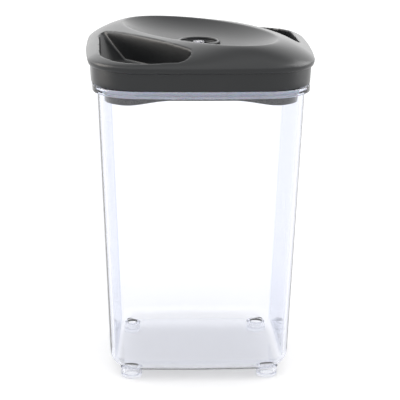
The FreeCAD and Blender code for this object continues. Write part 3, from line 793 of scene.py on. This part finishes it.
def smooth_step(value, low, high):
    share = min(1.0, max(0.0, (value - low) / (high - low)))
    return share * share * (3 - 2 * share)


def wavy_foot(rise):
    """The height of the plug's lower edge at a place: arched in the middle of each side."""
    def height(x, y):
        along = min(abs(x), abs(y))
        return PLUG_FOOT_Z + rise + PLUG_ARCH * (1 - smooth_step(along, ARCH_FLAT, ARCH_END))
    return height


def make_plug():
    bm = bmesh.new()
    inner = PLUG_GAP + GASKET_DEPTH + PLUG_WALL
    stations = []
    for sine, cosine in quarter(3):
        stations.append(plug_station(PLUG_GAP + 0.6 * MM * (1 - sine), wavy_foot(0.6 * MM * (1 - cosine))))
    for z, inset in (
        (gasket_low.z, PLUG_GAP), (gasket_low.z, PLUG_GAP + GASKET_DEPTH),
        (gasket_high.z, PLUG_GAP + GASKET_DEPTH), (gasket_high.z, PLUG_GAP),
        (BAND_FOOT_Z + 0.6 * MM, PLUG_GAP), (BAND_FOOT_Z + 0.6 * MM, inner),
    ):
        stations.append(plug_station(inset, z))
    stations.append(plug_station(inner, wavy_foot(0.0)))
    sweep_rings(bm, stations, closed=True)
    return new_object("lid_base_satin", bm)


def make_plate():
    bm = bmesh.new()
    inset = SHELL + 0.1 * MM
    half, corner = BAND_HALF - inset, SHOULDER_CORNER - SHOULDER_HALF + BAND_HALF - inset
    top = BAND_FOOT_Z + PLATE_THICK
    edge = 0.3 * MM
    sweep_rings(bm, [
        outline_station(half - edge, corner - edge, BAND_FOOT_Z),
        outline_station(half, corner, BAND_FOOT_Z + edge),
        outline_station(half, corner, top - edge),
        outline_station(half - edge, corner - edge, top),
    ])
    return new_object("plate", bm)


VENT_COUNT, VENT_RADIUS, VENT_CIRCLE = 6, 1.2, 5.6
STEM_RADIUS, GUIDE_RADIUS = 1.5, 1.58


def hole_cluster(name, low, high):
    """The stem's guide hole and the circle of air holes round it, as one cutting tool."""
    bm = bmesh.new()
    turned(bm, [(0, low), (GUIDE_RADIUS, low), (GUIDE_RADIUS, high), (0, high)], steps=32)
    for step in range(VENT_COUNT):
        angle = 2 * math.pi * step / VENT_COUNT
        centre = (VENT_CIRCLE * MM * math.cos(angle), VENT_CIRCLE * MM * math.sin(angle))
        turned(bm, [(0, low), (VENT_RADIUS, low), (VENT_RADIUS, high), (0, high)], centre, 24)
    return new_object(name, bm)


BOSS_IN, BOSS_OUT = 10.9, 12.7
lid_base = make_plug()
combine(lid_base, make_plate(), "UNION")
plate_mm = (BAND_FOOT_Z + PLATE_THICK) / MM
boss_top = base_high.z / MM
boss = [(BOSS_IN, plate_mm - 0.5), (BOSS_OUT, plate_mm - 0.5), (BOSS_OUT, boss_top - 0.4),
        (BOSS_OUT - 0.4, boss_top), (BOSS_IN + 0.3, boss_top), (BOSS_IN, boss_top - 0.3)]
combine(lid_base, turned_object("boss", boss, steps=96, closed=True), "UNION")
combine(lid_base, hole_cluster("base_holes", plate_mm - 5, plate_mm + 3), "DIFFERENCE")
crisp_shading(lid_base, 30)
finish_piece(lid_base, "lid_base", "lid", dark_plastic)

# %% [markdown]
# ## The gasket
# A silicone band sits in a groove round the plug, with two soft lips that press on the canister wall.
# It is drawn as it would be with the lips relaxed just short of the wall.

# %% Gasket with two lips
GASKET_REACH = 0.25 * MM       # the lips stop this far from the wall


def make_gasket():
    bm = bmesh.new()
    low, high = gasket_low.z, gasket_high.z
    middle, lip = (low + high) / 2, 0.55 * MM
    outer, waist = GASKET_REACH, PLUG_GAP + 0.1 * MM
    share = (low - BODY_FOOT) / (RIM_Z - BODY_FOOT)
    half = BASE_HALF + (RIM_HALF - BASE_HALF) * share - WALL
    corner = BASE_CORNER + (RIM_CORNER - BASE_CORNER) * share - WALL
    back = half - (PLUG_HALF - PLUG_GAP - GASKET_DEPTH)
    outline = [(back, low)]
    for centre in (low + lip, high - lip):
        for step in range(7):
            turn = math.radians(-90 + 30 * step)
            outline.append((outer + lip - lip * math.cos(turn), centre + lip * math.sin(turn)))
        if centre < middle:
            outline.append((waist, middle))
    outline.append((back, high))
    sweep_rings(bm, [outline_station(half - inset, corner - inset, z) for inset, z in outline], closed=True)
    return new_object("lid_gasket_silicone", bm)


gasket = make_gasket()
crisp_shading(gasket, 50)
finish_piece(gasket, "lid_gasket", "lid", silicone)

# %% [markdown]
# ## The valve
# The ring in the bowl is the top of a small cup that is set into the lid. Under the knob a rubber disc
# lies over a circle of air holes, a light spring holds it down, and pulling the knob lets air in. All of
# it is turned work, so each piece is one spun profile, with the small radii that a mould or a lathe leaves.

# %% Valve ring and cup
ring_top, cup_foot = ring_high.z / MM, ring_low.z / MM
floor_mm = BOWL_FLOOR_Z / MM
RING_BORE, SPIGOT, CUP_BORE = 10.0, 9.1, 7.7
WEB_TOP = cup_foot + 1.6
ring_profile = (
    [(0.0, cup_foot), (SPIGOT - 0.3, cup_foot), (SPIGOT, cup_foot + 0.3), (SPIGOT, floor_mm),
     (RING_RADIUS, floor_mm)]
    + bend(RING_RADIUS - 0.8, ring_top - 0.8, 0.8, 0, 90)
    + bend(RING_BORE + 0.6, ring_top - 0.6, 0.6, 90, 180)
    + bend(RING_BORE - 0.5, floor_mm + 1.3, 0.5, 0, -90)
    + bend(CUP_BORE + 0.5, floor_mm + 0.3, 0.5, 90, 180)
    + bend(CUP_BORE - 0.5, WEB_TOP + 0.5, 0.5, 0, -90)
    + [(0.0, WEB_TOP)]
)
valve_ring = turned_object("valve_collar_satin", ring_profile, steps=128)
combine(valve_ring, hole_cluster("cup_holes", cup_foot - 1, WEB_TOP + 1), "DIFFERENCE")
crisp_shading(valve_ring, 40)
finish_piece(valve_ring, "valve_collar", "lid", dark_plastic)

# %% [markdown]
# ## The knob and its stem
# One moulded pin runs through the valve: the knob on top, a flange that lies on the seal under the
# spring, and a groove at its foot for the clip. Its heights come from the pieces that it meets.

# %% Knob with its stem
stem_low, stem_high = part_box("valve_stem")
seal_low, seal_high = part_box("valve_seal")
clip_low, clip_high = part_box("stem_clip")
KNOB_RADIUS, KNOB_HEIGHT, FLANGE_RADIUS = 3.4, 3.0, 4.6
knob_top, stem_foot = stem_high.z / MM, stem_low.z / MM
groove = STEM_RADIUS - 0.4
seal_top = seal_high.z / MM
stem_profile = (
    [(0.0, stem_foot), (STEM_RADIUS - 0.3, stem_foot), (STEM_RADIUS, stem_foot + 0.3),
     (STEM_RADIUS, clip_low.z / MM), (groove, clip_low.z / MM), (groove, clip_high.z / MM),
     (STEM_RADIUS, clip_high.z / MM), (STEM_RADIUS, seal_top), (FLANGE_RADIUS, seal_top)]
    + bend(FLANGE_RADIUS - 0.3, seal_top + 0.7, 0.3, 0, 90)
    + [(STEM_RADIUS, seal_top + 1.0), (STEM_RADIUS, knob_top - KNOB_HEIGHT),
       (KNOB_RADIUS - 0.5, knob_top - KNOB_HEIGHT)]
    + bend(KNOB_RADIUS - 0.4, knob_top - KNOB_HEIGHT + 0.4, 0.4, -90, 0)
    + bend(KNOB_RADIUS - 0.9, knob_top - 0.9, 0.9, 0, 70)
    + [(1.4, knob_top - 0.22), (0.0, knob_top - 0.32)]
)
stem = turned_object("valve_stem_clear", stem_profile, steps=96)
crisp_shading(stem, 40)
finish_piece(stem, "valve_stem", "valve", stem_plastic)

# %% [markdown]
# ## The seal and the O-ring
# Both are plain rubber rings. The seal covers the air holes, and the O-ring keeps air from passing
# between the valve's cup and the lid's base. An O-ring is a circle spun round an axis, joined to itself.

# %% Rubber seal and O-ring
seal_mm, SEAL_RADIUS = seal_low.z / MM, 7.2
seal_profile = (
    [(STEM_RADIUS, seal_mm), (SEAL_RADIUS - 0.2, seal_mm), (SEAL_RADIUS, seal_mm + 0.15)]
    + bend(SEAL_RADIUS - 0.5, seal_top - 0.5, 0.5, 0, 90)
    + [(STEM_RADIUS, seal_top)]
)
seal = turned_object("valve_seal_rubber", seal_profile, steps=96, closed=True)
crisp_shading(seal, 40)
finish_piece(seal, "valve_seal", "valve", valve_rubber)
o_low, o_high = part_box("port_o_ring")
section = (o_high.z - o_low.z) / 2 / MM
o_middle, o_radius = (o_low.z + o_high.z) / 2 / MM, o_high.x / MM - section
o_ring = turned_object(
    "port_o_ring_silicone", bend(o_radius, o_middle, section, 0, 345, 23), steps=96, closed=True)
finish_piece(o_ring, "port_o_ring", "lid", silicone)

# %% [markdown]
# ## The return spring
# A coil of wire is a circle spun round an axis while it climbs. When the knob is lifted the spring is
# squeezed: its lower end rises with the valve and its upper end stays against the lid.
# Here the coil is built at rest and given its steel; it is attached to no body.

# %% Return spring
WIRE_RADIUS = 0.25 * MM
SPRING_TURNS, STEPS_PER_TURN = 4, 32
spring_low, spring_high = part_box("valve_spring")


def make_spring():
    bm = bmesh.new()
    ring = bmesh.ops.create_circle(bm, segments=12, radius=WIRE_RADIUS)["verts"]
    bmesh.ops.rotate(bm, verts=ring, matrix=Matrix.Rotation(math.pi / 2, 3, "X"))
    start = Vector((spring_high.x - WIRE_RADIUS, 0.0, spring_low.z + WIRE_RADIUS))
    bmesh.ops.translate(bm, verts=ring, vec=start)
    steps = SPRING_TURNS * STEPS_PER_TURN
    climb = spring_high.z - spring_low.z - 2 * WIRE_RADIUS
    bmesh.ops.spin(
        bm, geom=bm.verts[:] + bm.edges[:], cent=(0, 0, 0), axis=(0, 0, 1), dvec=(0, 0, climb / steps),
        angle=2 * math.pi * SPRING_TURNS, steps=steps, use_merge=False, use_duplicate=False,
    )
    bmesh.ops.holes_fill(bm, edges=[edge for edge in bm.edges if edge.is_boundary])
    bmesh.ops.recalc_face_normals(bm, faces=bm.faces)
    heights = [vert.co.z / MM for vert in bm.verts]
    print("spring from", round(min(heights), 2), "to", round(max(heights), 2), "mm")
    return new_object("valve_spring_coil", bm)


spring = make_spring()
spring.data.materials.append(spring_steel)
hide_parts("valve_spring")
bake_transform(spring)

# %% [markdown]
# ## The piece kept from the engineering model
# The clip already has its true shape, so it stays and only gets its steel.

# %% Steel for the clip
clip_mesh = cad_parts["stem_clip"].data
clip_mesh.materials.clear()
clip_mesh.materials.append(spring_steel)
print("stem_clip keeps its mesh of", len(clip_mesh.polygons), "faces")

# %% [markdown]
# ## Studio
# A dark glossy lid is drawn by what it reflects, and clear plastic by the edges between light and dark.
# So what glossy surfaces see is not evenly white: it is bright low behind the object, dim higher up, and
# brighter again over the camera, with a soft box on each side. The floor is a white sheet lit a little
# from below, as on a light table, which keeps the shadow under clear plastic pale.

# %% Floor
floor_bm = bmesh.new()
FLOOR_HALF = 6.0               # large enough for the camera to see no edge of it
bmesh.ops.create_grid(floor_bm, x_segments=2, y_segments=2, size=FLOOR_HALF)
floor = new_object("floor", floor_bm)
floor_material, nodes, links, shader = new_material("floor_paper")
shader.inputs["Base Color"].default_value = (0.75, 0.75, 0.755, 1.0)
shader.inputs["Emission Color"].default_value = (1.0, 1.0, 1.0, 1.0)
shader.inputs["Emission Strength"].default_value = 0.42
shader.inputs["Roughness"].default_value = 0.9
shader.inputs["Specular IOR Level"].default_value = 0.0
paper = place_noise(nodes, links, 400.0, 3.0)
add_bump(nodes, links, shader, paper.outputs["Fac"], 0.05, 0.0001)
floor.data.materials.append(floor_material)


# %% [markdown]
# ## Soft boxes
# Two flat lamps, warm on the left and stronger on the right, draw the light edges of the lid. They are
# hidden from matt surfaces and from rays that have passed through a wall, so they cast no shadows.

# %% Soft boxes
def softbox(name, place, target, width, height, power, colour=(1.0, 1.0, 1.0)):
    """A flat lamp that faces a point. It lights and is reflected, but is never seen itself."""
    data = bpy.data.lights.new(name, "AREA")
    data.shape = "RECTANGLE"
    data.size, data.size_y = width, height
    data.energy = power
    data.color = colour
    lamp = bpy.data.objects.new(name, data)
    bpy.context.scene.collection.objects.link(lamp)
    aim = Vector(place) - Vector(target)
    lamp.matrix_world = Matrix.Translation(place) @ aim.to_track_quat("Z", "Y").to_matrix().to_4x4()
    lamp.visible_camera = False
    return lamp


LID_AT = (0.0, 0.0, 0.17)
left_box = softbox("left_box", (-0.75, 0.05, 0.35), LID_AT, 0.5, 0.7, 5.0, (1.0, 0.93, 0.86))
right_box = softbox("right_box", (0.75, 0.10, 0.40), LID_AT, 0.6, 0.8, 6.0)
for lamp in (left_box, right_box):
    lamp.visible_diffuse = False       # they only draw highlights, so the shadow stays even
    lamp.visible_transmission = False


# %% [markdown]
# ## The room
# The world lights everything evenly. Only a mirror reflection sees a different strength, set by its
# direction: bright low behind the object, dim overhead, and brighter again over the camera.

# %% The room
ROOM_WHITE = 1.1                       # what the eye sees, and what lights matt surfaces
SIDE_START, SIDE_FULL = 0.35, 0.90    # how far to the side the sides begin, and are full
ROOM_DIM, ROOM_SIDES = 0.20, 0.5       # what glossy surfaces see overhead, and added at the sides
ROOM_BACK, BACK_FULL, BACK_OVER = 1.75, math.radians(44), math.radians(92)
ROOM_ABOVE, ABOVE_START, ABOVE_FULL = 1.9, math.radians(65), math.radians(100)


def rising(nodes, links, value, start, end, top):
    """A smooth rise from nothing to top while the value goes from start to end."""
    ramp = nodes.new("ShaderNodeMapRange")
    ramp.interpolation_type = "SMOOTHSTEP"
    ramp.inputs["From Min"].default_value = start
    ramp.inputs["From Max"].default_value = end
    ramp.inputs["To Min"].default_value = 0.0
    ramp.inputs["To Max"].default_value = top
    links.new(value, ramp.inputs["Value"])
    return ramp.outputs["Result"]


def sum_of(nodes, links, values):
    total = values[0]
    for value in values[1:]:
        add = nodes.new("ShaderNodeMath")
        add.operation = "ADD"
        for socket, part in zip(add.inputs, (total, value)):
            if isinstance(part, float):
                socket.default_value = part
            else:
                links.new(part, socket)
        total = add.outputs["Value"]
    return total


def make_room():
    """White to the eye and to matt surfaces; what is glossy sees bright and dim bands."""
    world = bpy.data.worlds.new("studio")
    bpy.context.scene.world = world
    world.use_nodes = True
    world.cycles.sampling_method = "NONE"
    nodes, links = world.node_tree.nodes, world.node_tree.links
    background = nodes["Background"]
    background.inputs["Color"].default_value = (1.0, 1.0, 1.0, 1.0)
    where = nodes.new("ShaderNodeTexCoord")
    split = nodes.new("ShaderNodeSeparateXYZ")
    links.new(where.outputs["Generated"], split.inputs["Vector"])
    height = nodes.new("ShaderNodeMath")           # angle from the back horizon up and over to the front
    height.operation = "ARCTAN2"
    links.new(split.outputs["Z"], height.inputs[0])
    links.new(split.outputs["Y"], height.inputs[1])
    glossy = sum_of(nodes, links, [
        rising(nodes, links, height.outputs["Value"], BACK_OVER, BACK_FULL, ROOM_BACK),
        rising(nodes, links, height.outputs["Value"], ABOVE_START, ABOVE_FULL, ROOM_ABOVE),
        rising(nodes, links, split.outputs["X"], SIDE_START, SIDE_FULL, ROOM_SIDES),
        rising(nodes, links, split.outputs["X"], -SIDE_START, -SIDE_FULL, ROOM_SIDES),
        ROOM_DIM,
    ])
    rays = nodes.new("ShaderNodeLightPath")
    mirrored = nodes.new("ShaderNodeMath")         # a glossy ray that has not passed through a wall
    mirrored.operation = "SUBTRACT"
    mirrored.use_clamp = True
    links.new(rays.outputs["Is Glossy Ray"], mirrored.inputs[0])
    links.new(rays.outputs["Is Transmission Ray"], mirrored.inputs[1])
    seen = nodes.new("ShaderNodeMix")
    seen.inputs["A"].default_value = ROOM_WHITE
    links.new(mirrored.outputs["Value"], seen.inputs["Factor"])
    links.new(glossy, seen.inputs["B"])
    links.new(seen.outputs["Result"], background.inputs["Strength"])


make_room()
bpy.context.scene.view_settings.view_transform = "Standard"
bpy.context.scene.cycles.use_denoising = True
